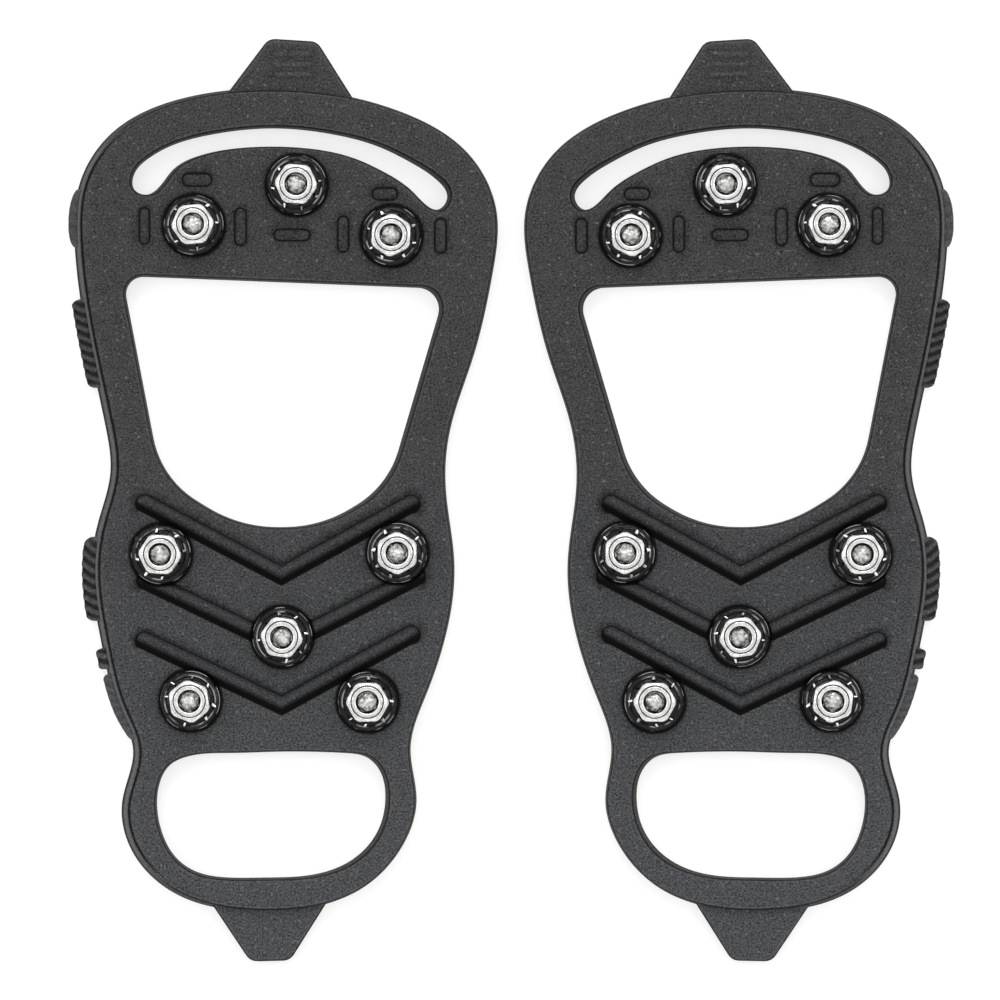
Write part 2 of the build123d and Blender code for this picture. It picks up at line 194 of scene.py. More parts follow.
def rounded_loop(corners, step=EDGE_STEP):
    """A closed loop round a polygon with rounded corners."""
    fine = []
    for i, (x, y, radius) in enumerate(corners):
        here = np.array([x, y])
        before = np.array(corners[i - 1][:2]) - here
        after = np.array(corners[(i + 1) % len(corners)][:2]) - here
        before = before / np.linalg.norm(before)
        after = after / np.linalg.norm(after)
        half = math.acos(float(before @ after)) / 2
        middle = (before + after) / np.linalg.norm(before + after)
        centre = here + middle * radius / math.sin(half)
        start = here + before * radius / math.tan(half) - centre
        end = here + after * radius / math.tan(half) - centre
        first = math.atan2(start[1], start[0])
        turn = (math.atan2(end[1], end[0]) - first + math.pi) % (2 * math.pi) - math.pi
        angles = first + turn * np.linspace(0, 1, 13)
        fine.append(centre + radius * np.column_stack([np.cos(angles), np.sin(angles)]))
    return turned_left(resample(np.vstack(fine), step))


def circle(x, y, radius, count):
    angles = np.linspace(0, 2 * math.pi, count, endpoint=False)
    return np.column_stack([x + radius * np.cos(angles), y + radius * np.sin(angles)])


def turned_left(loop):
    """The loop in counterclockwise order."""
    x, y = loop.T
    doubled = np.sum(x * np.roll(y, -1) - np.roll(x, -1) * y)
    return loop if doubled > 0 else loop[::-1]


def outward(loop):
    """Unit normals of a counterclockwise loop, pointing away from what it encloses."""
    along = np.roll(loop, -1, axis=0) - np.roll(loop, 1, axis=0)
    along = along / np.linalg.norm(along, axis=1)[:, None]
    return np.column_stack([along[:, 1], -along[:, 0]])


def inside(points, loop):
    """True for each point inside a closed loop."""
    x, y = points.T
    hit = np.zeros(len(points), bool)
    for (x0, y0), (x1, y1) in zip(loop, np.roll(loop, -1, axis=0)):
        if y0 != y1:
            hit ^= ((y0 > y) != (y1 > y)) & (x < (x1 - x0) * (y - y0) / (y1 - y0) + x0)
    return hit


def near(points, loop, limit):
    """True for each point closer than a limit to one of the loop's points."""
    hit = np.zeros(len(points), bool)
    for x, y in loop:
        hit |= (points[:, 0] - x) ** 2 + (points[:, 1] - y) ** 2 < limit ** 2
    return hit


def within(points, boundaries, margin):
    """True for each point on the rubber: inside the first boundary, outside the others, clear of all."""
    keep = inside(points, boundaries[0]) & ~near(points, boundaries[0], margin)
    for hole in boundaries[1:]:
        keep &= ~inside(points, hole) & ~near(points, hole, margin)
    return keep


# ---- Relief of the stud side ----

def ramp(value, low, high):
    t = np.clip((value - low) / (high - low), 0, 1)
    return t * t * (3 - 2 * t)


def rib_arms(rib):
    """A V rib's apex, then for each arm its end, its direction from the apex and its heel-side normal."""
    apex = np.array(rib[1])
    arms = []
    for end in (np.array(rib[0]), np.array(rib[2])):
        along = (end - apex) / np.linalg.norm(end - apex)
        normal = np.array([along[1], -along[0]])
        arms.append((end, along, normal if normal[1] < 0 else -normal))
    return apex, arms


def rib_relief(points, rib):
    """Height and tint of a V rib: steep on its toe side, sloping on its heel side, round at its ends. The
    tint is painted shade on its heel-side flank, in the groove at its foot and a little on its crown.
    """
    apex, arms = rib_arms(rib)
    across = np.max([(points - apex) @ normal for end, along, normal in arms], axis=0) / RIB_HALF_WIDTH
    past = np.max([(points - end) @ along for end, along, normal in arms], axis=0) / RIB_HALF_WIDTH
    reach = np.hypot(across, np.maximum(past, 0))
    slope = (1 - 0.12 * ramp(across, -0.5, 0.2)) * (1 - ramp(across, 0.0, 1.12))
    crown = ramp(across, -1.12, -0.72) * slope
    crown = np.where(past > 0, np.minimum(crown, 1 - ramp(reach, 0.7, 1.12)), crown)
    groove = np.exp(-((np.where(past < 0, -across, reach) - 1.26) / 0.19) ** 2)
    flank = ramp(across, -0.3, 0.6) * (1 - ramp(reach, 1.12, 1.26))
    # Painted shade on the heel-side flank and in the foot groove, and a little on the crown.
    return RIB_HEIGHT * crown - 0.25 * groove, -flank - groove - 0.22 * crown


def rib_loop(rib, distance):
    """A loop round a V rib at one distance from its middle line."""
    apex, (left, right) = rib_arms(rib)
    mitre = distance * (left[2] + right[2]) / (1 + left[2] @ right[2])
    turns = np.linspace(0, math.pi, 9)
    run = [left[0] + distance * (math.sin(a) * left[1] - math.cos(a) * left[2]) for a in turns]
    run.append(apex + mitre)
    run += [right[0] + distance * (math.sin(a) * right[1] + math.cos(a) * right[2]) for a in turns]
    run.append(apex - mitre)
    points = []
    for a, b in zip(run, run[1:] + run[:1]):
        count = max(1, int(np.linalg.norm(b - a)))
        points += [a + (b - a) * k / count for k in range(count)]
    return np.array(points)


def capsule_distance(points, capsule):
    """Distance from a capsule's edge, negative inside it."""
    x, y, size_x, size_y = capsule
    radius = min(size_x, size_y) / 2
    rest = np.abs(points - (x, y)) - (size_x / 2 - radius, size_y / 2 - radius)
    return np.hypot(*np.maximum(rest, 0).T) + np.minimum(rest.max(axis=1), 0) - radius


def capsule_loop(capsule, outset):
    x, y, size_x, size_y = capsule
    half_x = size_x / 2 + outset
    half_y = size_y / 2 + outset
    radius = min(half_x, half_y) - 0.01
    signs = ((-1, -1), (1, -1), (1, 1), (-1, 1))
    return rounded_loop([(x + a * half_x, y + b * half_y, radius) for a, b in signs], 0.45)


def relief(points):
    """Height of the stud side above the plate's flat top, and its tint: painted shade on the ribs, in the
    moats round the collars and along the capsules' outlines.
    """
    height = np.zeros(len(points))
    tint = np.zeros(len(points))
    for rib in RIBS:
        rib_height, rib_tint = rib_relief(points, rib)
        height = height + rib_height
        tint = tint + rib_tint
    from_stud = np.min([np.hypot(*(points - stud[1:3]).T) for stud in FOREFOOT_STUDS + HEEL_STUDS], axis=0)
    height = height * ramp(from_stud, COLLAR_RADIUS - 0.3, COLLAR_RADIUS + 0.5)
    moat = 1 - ramp(from_stud, COLLAR_RADIUS + 0.3, COLLAR_RADIUS + 0.8)
    height = height - 0.35 * moat * ramp(from_stud, COLLAR_RADIUS - 0.25, COLLAR_RADIUS)
    # Painted shade in the moat round each collar.
    tint = tint - 0.95 * moat
    for capsule in CAPSULES:
        d = capsule_distance(points, capsule)
        line = np.exp(-((d + 0.22) / 0.3) ** 2)
        height = height - 0.45 * line - 0.12 * (d < -0.25)
        # Painted shade along the capsule's sunken outline.
        tint = tint - line
    return height, np.clip(tint, -1, 1)


def relief_loops():
    """Loops along the relief, so that the mesh has edges where its height changes."""
    loops = []
    shares = (0.25, 0.5, 0.72, 0.88, 1.0, 1.13, 1.26, 1.4)
    for rib in RIBS:
        loops += [rib_loop(rib, share * RIB_HALF_WIDTH) for share in shares]
    for capsule in CAPSULES:
        loops += [capsule_loop(capsule, outset) for outset in (0.12, -0.1, -0.25, -0.4, -0.6)]
    for name, x, y, turn in FOREFOOT_STUDS + HEEL_STUDS:
        loops += [circle(x, y, COLLAR_RADIUS + outset, 72) for outset in (-0.3, 0.0, 0.3, 0.55, 0.85)]
    return loops


# ---- Closed surfaces ----

class Shell:
    """Vertices and faces of one closed surface. A vertex is x, y and z in millimetres, and a tint.

    The tint is painted light and shade: -1 is painted shade in hollows and on flanks turned from the light,
    1 is a painted highlight along edges.
    """

    def __init__(self):
        self.verts = np.zeros((0, 4))
        self.faces = []

    def add(self, verts, faces, flip=False):
        first = len(self.verts)
        self.verts = np.vstack([self.verts, verts])
        for face in faces:
            corners = [first + int(i) for i in face]
            self.faces.append(corners[::-1] if flip else corners)

    def join(self, other, x=0.0, y=0.0, turn=0.0):
        """Adds a copy of another shell, turned by an angle in degrees and moved."""
        cosine = math.cos(math.radians(turn))
        sine = math.sin(math.radians(turn))
        verts = other.verts.copy()
        verts[:, 0] = x + cosine * other.verts[:, 0] - sine * other.verts[:, 1]
        verts[:, 1] = y + sine * other.verts[:, 0] + cosine * other.verts[:, 1]
        self.add(verts, other.faces)

    def strips(self, rings):
        """Quads between successive rings of as many points."""
        for upper, lower in zip(rings, rings[1:]):
            n = len(upper)
            quads = [(i, n + i, n + (i + 1) % n, (i + 1) % n) for i in range(n)]
            self.add(np.vstack([upper, lower]), quads)

    def fill(self, ring, height):
        """Triangles from a ring to a point at its middle."""
        n = len(ring)
        middle = ring.mean(axis=0)
        middle[2] = height
        self.add(np.vstack([ring, middle]), [(i, (i + 1) % n, n) for i in range(n)])

    def to_bmesh(self):
        bm = bmesh.new()
        tint = bm.verts.layers.float.new("tint")
        points = []
        for vert in self.verts:
            point = bm.verts.new(vert[:3])
            point[tint] = vert[3]
            points.append(point)
        for face in self.faces:
            bm.faces.new([points[i] for i in face])
        bmesh.ops.remove_doubles(bm, verts=bm.verts, dist=1e-4)
        bmesh.ops.recalc_face_normals(bm, faces=bm.faces)
        return bm


def ring_at(loop, height, tint=0.0):
    return np.column_stack([loop, np.broadcast_to(height, len(loop)), np.broadcast_to(tint, len(loop))])


def flat_mesh(boundaries, loops, grid):
    """Triangles on the rubber between boundaries, with edges along the loops."""
    points = []
    edges = []
    for k, loop in enumerate(list(boundaries) + list(loops)):
        n = len(loop)
        first = len(points)
        kept = np.ones(n, bool) if k < len(boundaries) else within(loop, boundaries, 0.35)
        points += [tuple(p) for p in loop]
        edges += [(first + i, first + (i + 1) % n) for i in range(n) if kept[i] and kept[(i + 1) % n]]
    used = {i for edge in edges for i in edge}
    index = {old: new for new, old in enumerate(sorted(used))}
    points = [points[i] for i in sorted(used)]
    edges = [(index[a], index[b]) for a, b in edges]
    low = boundaries[0].min(axis=0)
    high = boundaries[0].max(axis=0)
    rows = np.arange(low[1], high[1], grid * math.sqrt(3) / 2)
    columns = np.arange(low[0], high[0], grid)
    lattice = np.array([(x + grid / 2 * (j % 2), y) for j, y in enumerate(rows) for x in columns])
    lattice = lattice[within(lattice, boundaries, 0.55 * grid)]
    for loop in loops:
        lattice = lattice[~near(lattice, loop, 0.5 * grid)]
    points += [tuple(p) for p in lattice]
    made = delaunay_2d_cdt([Vector(p) for p in points], edges, [], 0, 1e-5)
    verts = np.array([tuple(v) for v in made[0]])
    faces = np.array(made[2])
    return verts, faces[within(verts[faces].mean(axis=1), boundaries, 0)]


def wall_rings(loop, out_sign, lean, crease, light):
    """Rings from the flat top over the edge and down the wall to the floor.

    out_sign is 1 for the plate's outer edge and -1 for an opening. The wall leans out by lean. Its tint
    paints it in shade with a thin highlight on its rounded edge, or where light is 1, paints a highlight
    near its top edge, shade at its foot and shade in a crease inside the edge. Every wall gets a painted
    shadow along its foot.
    """
    out = outward(loop) * out_sign
    top = loop - out * np.broadcast_to(lean, len(loop))[:, None]
    crease = np.broadcast_to(crease, len(loop))
    light = np.broadcast_to(light, len(loop))
    # Each: outward, up, how much deeper at a crease, painted tint where the wall stays in shade, painted
    # tint where it gets the highlight.
    shoulder = [
        (-1.15, 0.0, 0.0, 0.0, 0.15), (-0.9, 0.0, -0.05, 0.0, -0.7), (-0.68, -0.02, -0.3, 0.0, -1.0),
        (-0.5, -0.04, -0.16, 0.1, -0.75), (-0.32, -0.08, 0.0, 0.3, 0.3), (-0.14, -0.2, 0.0, -0.4, 0.55),
        (0.0, -EDGE_DROP, 0.0, -1.0, 0.5),
    ]
    rings = []
    for offset, drop, dip, dark_tint, light_tint in shoulder:
        tint = dark_tint + (light_tint - dark_tint) * light
        rings.append(ring_at(top + out * offset, THICK + drop + dip * crease, tint))
    foot = 0.25
    for share, dark_tint, light_tint in ((0.25, -0.75, 0.35), (0.5, -0.55, 0.0), (0.68, -0.6, -0.9)):
        height = (THICK - EDGE_DROP) * (1 - share) + foot * share
        tint = dark_tint + (light_tint - dark_tint) * light
        rings.append(ring_at(top + (loop - top) * share, height, tint))
    # Painted shadow along the wall's foot.
    rings.append(ring_at(loop, foot, -0.9))
    rings.append(ring_at(loop - out * 0.08, 0.08, -0.9))
    rings.append(ring_at(loop - out * 0.25, 0.0))
    return rings


def plate_shell():
    """The rubber plate with its openings, ribs, capsules and rivet pockets."""
    shell = Shell()
    outer = smooth_loop(PLATE_OUTLINE)
    facing = outward(outer)[:, 0]
    outer_share = ramp(-facing, -0.6, 0.6)
    lean = WALL_LEAN_INNER + (WALL_LEAN_OUTER - WALL_LEAN_INNER) * outer_share
    # The plate's outer side gets the painted highlight on its wall; the rest of its wall is painted in
    # shade.
    sets = [wall_rings(outer, 1, lean, outer_share, ramp(-facing, 0.5, 0.9))]
    openings = [
        smooth_loop(SLOT_OUTLINE, FINE_EDGE_STEP),
        rounded_loop(ARCH_OPENING_CORNERS),
        smooth_loop(HEEL_OPENING_OUTLINE),
    ]
    for hole in openings:
        facing = outward(hole)[:, 0]
        lean = OPENING_LEAN + OPENING_LEAN_INNER * ramp(facing, -0.1, 0.9)
        # The openings' walls are painted in shade.
        sets.append(wall_rings(hole, -1, lean, 0.35, 0.0))
    for rings in sets:
        shell.strips(rings)
    verts, faces = flat_mesh([rings[0][:, :2] for rings in sets], relief_loops(), GRID)
    height, tint = relief(verts)
    shell.add(ring_at(verts, THICK + height, tint), faces)
    pockets = []
    for name, x, y, turn in FOREFOOT_STUDS + HEEL_STUDS:
        mouth = ring_at(circle(x, y, POCKET_RADIUS + 0.25, 48), 0.0)
        wall = ring_at(circle(x, y, POCKET_RADIUS, 48), 0.2)
        floor = ring_at(circle(x, y, POCKET_RADIUS, 48), FLANGE_THICK)
        shell.strips([floor, wall, mouth])
        shell.fill(floor, FLANGE_THICK)
        pockets.append(mouth[:, :2])
    verts, faces = flat_mesh([rings[-1][:, :2] for rings in sets] + pockets, [], PLAIN_GRID)
    shell.add(ring_at(verts, 0.0), faces, flip=True)
    return shell


def tab_shell(corners, grip_places):
    """A thin pull tab with rounded edges, and with a low grip bar at each y given."""
    shell = Shell()
    loop = rounded_loop(corners, FINE_EDGE_STEP)
    out = outward(loop)
    # Each: outward, drop, tint: a painted highlight on the rounded edge and painted shade down the wall.
    shoulder = (
        (-1.1, 0.0, 0.0), (-0.75, -0.04, 0.15), (-0.5, -0.13, 0.3), (-0.3, -0.25, -0.5), (0.0, -0.65, -1.0),
    )
    rings = [ring_at(loop + out * offset, TAB_THICK + drop, tint) for offset, drop, tint in shoulder]
    # Painted shadow at the tab's foot.
    for offset, z, tint in ((0.0, 0.5, -0.9), (-0.12, 0.2, -0.9), (-0.4, LOW_FOOT, 0.0)):
        rings.append(ring_at(loop + out * offset, z, tint))
    shell.strips(rings)
    middle = (corners[1][0] + corners[2][0]) / 2
    grips = [(middle, y, *GRIP_SIZE) for y in grip_places]
    loops = [capsule_loop(grip, outset) for grip in grips for outset in (0.25, 0.05, -0.15, -0.35, -0.5)]
    verts, faces = flat_mesh([rings[0][:, :2]], loops, TAB_GRID)
    height = np.zeros(len(verts))
    tint = np.zeros(len(verts))
    for grip in grips:
        d = capsule_distance(verts, grip)
        height = height + 0.2 * (1 - ramp(d, -0.55, 0.05))
        # A little painted light on each bar's top and painted shade round its foot.
        tint = tint + 0.1 * (1 - ramp(d, -0.5, -0.2)) - 0.35 * np.exp(-((d - 0.1) / 0.2) ** 2)
    shell.add(ring_at(verts, TAB_THICK + height, tint), faces)
    verts, faces = flat_mesh([rings[-1][:, :2]], [], TAB_UNDER_GRID)
    shell.add(ring_at(verts, LOW_FOOT), faces, flip=True)
    return shell


def round_rise(t):
    """From 0 to 1 along a quarter circle."""
    return np.sqrt(1 - (1 - np.clip(t, 0, 1)) ** 2)


def pad_shell(toe_y, heel_y, stand_out, count, slant, depth, toe_taper, heel_taper):
    """A grip pad along the outer wall, widest at the floor, with ribs that slant as they rise."""
    shell = Shell()
    loop = smooth_loop(PLATE_OUTLINE, PAD_STEP)
    on_pad = (loop[:, 0] < 0) & (loop[:, 1] < toe_y) & (loop[:, 1] > heel_y)
    order = np.argsort(loop[on_pad][:, 1])
    path = loop[on_pad][order]
    out = outward(loop)[on_pad][order]
    n = len(path)
    share = np.linspace(0, 1, n)
    ends = np.minimum(round_rise(share / heel_taper), round_rise((1 - share) / toe_taper))
    back = path - out * PAD_ROOT
    columns = [ring_at(back, LOW_FOOT)]
    for z in np.linspace(LOW_FOOT, PAD_HEIGHT, 16):
        body = stand_out * ends * ramp(z, -0.3, 0.3) * (1 - z / PAD_HEIGHT) ** 0.7
        phase = (share * count + slant * z) % 1
        groove = ends * ramp(np.abs(phase - 0.5), 0.16, 0.3)
        body = body - depth * groove * (0.2 + 0.8 * ramp(z, 0.2, 1.2)) * (1 - z / PAD_HEIGHT)
        sunk = WALL_LEAN_OUTER * z / THICK
        # Painted shadow along the pad's foot, painted shade in its grooves and a little painted light on its
        # ridges.
        if z < 0.2:
            tint = 0.0
        elif z < 0.45:
            tint = -0.9
        else:
            tint = 0.1 - min(0.95, 2 * depth) * groove
        columns.append(ring_at(path + out * (np.maximum(body, 0.02) - sunk)[:, None], z, tint))
    columns.append(ring_at(back, PAD_HEIGHT))
    rows = len(columns)
    faces = []
    for r in range(rows):
        low = r * n
        high = ((r + 1) % rows) * n
        faces += [(low + c, low + c + 1, high + c + 1, high + c) for c in range(n - 1)]
    faces.append([r * n for r in range(rows)])
    faces.append([r * n + n - 1 for r in range(rows)])
    shell.add(np.vstack(columns), faces)
    return shell


# ---- The rubber, parted where the bodies meet ----

def whole_rubber():
    """All of one cleat's rubber, in drawn millimetres."""
    whole = plate_shell()
    whole.join(tab_shell(TOE_TAB_CORNERS, TOE_GRIP_PLACES))
    whole.join(tab_shell(HEEL_TAB_CORNERS, []))
    for pad in SIDE_PADS:
        whole.join(pad_shell(*pad))
    return whole.to_bmesh()


def toe_direction():
    """Along the sole, square to the toe hinge, towards the toe."""
    return np.array([math.sin(TOE_TILT), math.cos(TOE_TILT)])


def zone_of(centre):
    """Which of the three rubber pieces a face belongs to."""
    point = np.array([[centre.x, centre.y]])
    if centre.y < LOOP_SEAM_Y:
        return "heel_loop"
    ahead = float((point[0] - (0, TOE_HINGE_Y)) @ toe_direction())
    crown = inside(point, np.array(SLOT_MIDDLE))[0]
    return "toe_band" if ahead > TOE_SEAM and not crown else "sole"


def part_rubber():
    """The toe band, sole and heel loop, each a closed mesh in drawn millimetres."""
    whole = whole_rubber()
    across = toe_direction()
    toe_point = np.array([0, TOE_HINGE_Y]) + across * TOE_SEAM
    planes = [
        ((toe_point[0], toe_point[1], 0), (across[0], across[1], 0)),
        ((0, LOOP_SEAM_Y, 0), (0, 1, 0)),
    ]
    for point, normal in planes:
        everything = list(whole.verts) + list(whole.edges) + list(whole.faces)
        bmesh.ops.bisect_plane(whole, geom=everything, dist=1e-5, plane_co=point, plane_no=normal)
    zones = {}
    whole.faces.ensure_lookup_table()
    found = [zone_of(face.calc_center_median()) for face in whole.faces]
    for zone in ("toe_band", "sole", "heel_loop"):
        part = whole.copy()
        part.faces.ensure_lookup_table()
        others = [face for face, name in zip(part.faces, found) if name != zone]
        bmesh.ops.delete(part, geom=others, context="FACES")
        rim = [edge for edge in part.edges if len(edge.link_faces) == 1]
        bmesh.ops.holes_fill(part, edges=rim, sides=0)
        for edge in rim:
            edge.smooth = False
        zones[zone] = part
    whole.free()
    return zones


def placed(bm, side, name, material):
    """A copy of a mesh in drawn millimetres, as an object on the left or right cleat."""
    made = bm.copy()
    sign = -1 if side == "right" else 1
    for v in made.verts:
        v.co = Vector((sign * (v.co.x - SPACING / 2), v.co.y, v.co.z)) * MM
    if side == "right":
        bmesh.ops.reverse_faces(made, faces=made.faces)
    for face in made.faces:
        face.smooth = True
    mesh = bpy.data.meshes.new(name)
    made.to_mesh(mesh)
    made.free()
    mesh.materials.append(material)
    obj = bpy.data.objects.new(name, mesh)
    bpy.context.scene.collection.objects.link(obj)
    return obj


def make_rubber(material):
    """The rubber of both cleats, one object for each piece, shown in place of the CAD's."""
    across = toe_direction()
    toe_start, toe_end = [tuple(np.array([0, TOE_HINGE_Y]) + across * reach) for reach in TOE_BEND]
    bends = {
        "toe_band": ("forefoot", "toe_band", toe_start, toe_end, ["toe_band"]),
        "sole": ("forefoot", "heel", (0, ARCH_BEND[0]), (0, ARCH_BEND[1]), ["forefoot_sole", "heel_sole"]),
        "heel_loop": ("heel", "heel_loop", (0, LOOP_BEND[0]), (0, LOOP_BEND[1]), ["heel_loop"]),
    }
    for zone, bm in part_rubber().items():
        first, second, start, end, nodes = bends[zone]
        for side in ("left", "right"):
            obj = placed(bm, side, side + "_rubber_" + zone, material)
            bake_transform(obj)
            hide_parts(*[side + "_" + node for node in nodes])
        bm.free()


# ---- Studs ----

def turned_shell(profile, lift=None, count=96):
    """A closed solid of revolution.

    The profile runs from the axis at the top to the axis at the bottom, as radius, height and tint.
    """
    shell = Shell()
    rings = [ring_at(circle(0, 0, radius, count), height, tint) for radius, height, tint in profile[1:-1]]
    top = profile[0][1]
    if lift:
        for ring in rings:
            ring[:, 2] += [lift(x, y, z) for x, y, z, tint in ring]
        top += lift(0, 0, top)
    shell.strips(rings)
    shell.fill(rings[0], top)
    shell.fill(rings[-1], profile[-1][1])
    return shell


def collar_shell():
    """Round glossy collar: a flat seat, a shallow ring groove and a rounded shoulder, with painted shade in
    the groove and painted highlights on the ridges.
    """
    profile = [
        (0, COLLAR_HEIGHT, 0), (4.0, COLLAR_HEIGHT, 0), (4.9, COLLAR_HEIGHT, 0), (5.1, 2.35, 0),
        (5.3, 2.25, -1), (5.5, 2.22, -1), (5.68, 2.28, 0), (5.82, 2.33, 1),
    ]
    ridge = 5.95
    side_height = 0.8
    shoulder_rise = 1.53
    # Painted highlights along the shoulder's top and on two rings down its rounding.
    tints = {90: 0.7, 36: 0.6, 27: 1}
    for a in range(90, -1, -9):
        radius = ridge + (COLLAR_RADIUS - ridge) * math.cos(math.radians(a))
        height = side_height + shoulder_rise * math.sin(math.radians(a))
        profile.append((radius, height, tints.get(a, 0)))
    profile += [(COLLAR_RADIUS, 0.1, 0), (COLLAR_RADIUS, -0.4, 0), (0, -0.4, 0)]
    return turned_shell([(r, THICK + z, tint) for r, z, tint in profile])


def washer_shell(seed):
    """Toothed lock washer: a ring under the cap and narrow twisted teeth that bite the collar. The ring and
    the teeth's roots are painted in shade; each tooth's tip gets a painted glint or painted shade.
    """
    random = np.random.default_rng(seed)
    top = CAP_BASE - 0.02
    foot = CAP_BASE - WASHER_THICK + 0.02
    shell = Shell()
    section = ((WASHER_HOLE, top), (WASHER_RADIUS, top), (WASHER_RADIUS, foot), (WASHER_HOLE, foot))
    rings = [ring_at(circle(0, 0, r, 64), z, -0.8) for r, z in section]
    shell.strips(rings + rings[:1])
    for k in range(WASHER_TEETH):
        along = math.radians(360 / WASHER_TEETH * k + random.uniform(-7, 7))
        twist = math.radians(random.uniform(20, 50))
        reach = random.uniform(-0.35, 0.15)
        glint = random.choice([-1.0, -0.6, 0.3, 0.8])
        slew = random.uniform(-0.5, 0.5)
        wide = random.uniform(0.7, 1.5)
        radial = np.array([math.cos(along), math.sin(along), 0])
        sideways = np.array([-math.sin(along), math.cos(along), 0])
        blade = sideways * math.cos(twist) + np.array([0, 0, math.sin(twist)])
        upright = np.cross(radial, blade)
        # Each: radius, half width, half thickness, tint: painted shade at the root under the cap, the
        # painted glint towards the tip.
        sections = [
            (4.5, 0.4, 0.22, -1.0), (5.15, 0.36, 0.22, -1.0), (5.35 + reach / 2, 0.34, 0.209, glint),
            (5.95 + reach, 0.28, 0.176, glint), (6.1 + reach, 0.15, 0.088, glint),
        ]
        rings = []
        for radius, half_width, half_thick, tint in sections:
            middle = radial * radius + sideways * slew * max(radius - TOOTH_KINK, 0)
            middle = middle + np.array([0, 0, (top + foot) / 2 + 0.05])
            corners = []
            for a in range(8):
                spin = math.radians(45 * a + 22.5)
                across = wide * half_width * math.cos(spin) * blade
                corners.append(middle + across + half_thick * math.sin(spin) * upright)
            corners = np.array(corners)
            rings.append(ring_at(corners[:, :2], corners[:, 2], tint))
        shell.strips(rings)
        shell.fill(rings[0], rings[0][:, 2].mean())
        shell.fill(rings[-1], rings[-1][:, 2].mean())
    return shell


def hexagon_radius(angle):
    """Distance from the axis to a hexagon's side, with turned-down corners."""
    from_flat = (angle % (math.pi / 3)) - math.pi / 6
    return min(CAP_FLAT / math.cos(from_flat), CAP_CORNER)


def cap_shell():
    """Hexagonal cap: chamfered corners, a thin groove, a raised ring and a recess, with painted shade in the
    groove, the recess and under the hexagon, and painted highlights on the rims and the ring.
    """
    slope = (CAP_TOP - CAP_CONE_START) / (CAP_CORNER - CAP_RING)
    profile = [
        (2.3, CAP_FLOOR, -0.6), (2.42, 2.66, -0.95), (2.52, 2.85, -1.0), (2.6, 3.35, -1.0),
        (2.7, 3.5, -0.2), (2.85, 3.59, 0.6), (3.1, CAP_TOP, 0.3), (3.4, CAP_TOP, 0.1),
        (3.54, 3.56, -0.2), (3.64, 3.44, -0.9), (3.72, 3.32, -1.0), (3.8, 3.34, -0.9),
        (3.88, 3.44, 0.0), (3.98, 3.5, 0.5), (4.1, 3.43, 0.3), (4.18, 3.35, -0.45), (4.26, 3.32, 0.3),
    ]
    # Each: share of the hexagon's radius, height below its chamfer's edge, tint: a painted highlight on the
    # chamfer's edge, painted shade down the flank.
    hexed = [(0.97, 0.0, 0.5), (1.0, -0.14, 0.3), (1.0, -1.2, -0.6)]
    angles = np.linspace(0, 2 * math.pi, 144, endpoint=False)
    hexagon = np.array([hexagon_radius(a) for a in angles])
    unit = np.column_stack([np.cos(angles), np.sin(angles)])
    rings = [ring_at(unit * r, z, tint) for r, z, tint in profile]
    chamfer = CAP_CONE_START + (CAP_CORNER - hexagon) * slope
    for share, drop, tint in hexed:
        height = chamfer + drop + (1 - share) * hexagon * slope
        rings.append(ring_at(unit * (hexagon * share)[:, None], height, tint))
    # Painted shade under the hexagon, on the land.
    rings.append(ring_at(unit * hexagon[:, None], CAP_LAND_HEIGHT + 0.15, -0.8))
    rings.append(ring_at(unit * (hexagon - 0.15)[:, None], CAP_LAND_HEIGHT, -0.9))
    rings.append(ring_at(unit * CAP_LAND, CAP_LAND_HEIGHT, -0.9))
    rings.append(ring_at(unit * CAP_LAND, 0.0, -0.9))
    shell = Shell()
    shell.strips(rings)
    shell.fill(rings[0], CAP_FLOOR)
    shell.fill(rings[-1], 0.0)
    shell.verts[:, 2] += CAP_BASE
    return shell


def rivet_shell(seed):
    """Flange, shank and a hammered end, whose dents follow the seed."""
    base = CAP_BASE + CAP_FLOOR
    edge = 2.3                   # of the hammered end
    rise = 0.62                  # its middle above its edge

    def dent(x, y, z):
        if z < base:
            return 0
        spot = Vector((x * 0.75 + seed * 7.3, y * 0.75, seed * 3.1))
        fine = Vector((x * 1.9, y * 1.9 + seed * 5.7, 4.0))
        return 0.34 * noise.noise(spot) + 0.12 * noise.noise(fine)

    # Painted highlight on the middle of the hammered end, fading to painted shade at its edge, round the
    # shank's top and on the flange's edge.
    profile = [(0, base + rise, 0.6)]
    for radius in np.linspace(0.3, 2.1, 7):
        share = radius / edge
        profile.append((radius, base + rise * (1 - share ** 2.2), 0.6 - 1.2 * share))
    profile += [
        (edge, base + 0.05, -0.9), (2.4, base - 0.15, -0.9), (SHANK_RADIUS, base - 0.5, -0.5),
        (SHANK_RADIUS, 1.2, 0.0), (2.4, FLANGE_THICK, 0.0), (FLANGE_RADIUS - 0.2, FLANGE_THICK, 0.0),
        (FLANGE_RADIUS, 0.8, -0.5), (FLANGE_RADIUS, 0.3, -0.5), (FLANGE_RADIUS - 0.3, 0.0, 0.3),
        (FLANGE_RADIUS - 0.6, 0.0, 0.3), (0, 0.0, 0.3),
    ]
    return turned_shell(profile, lift=dent, count=64)


def at_studs(shells, studs):
    """One mesh of a shell at each stud, turned as the stud is."""
    whole = Shell()
    for shell, (name, x, y, turn) in zip(shells, studs):
        whole.join(shell, x, y, turn)
    return whole.to_bmesh()


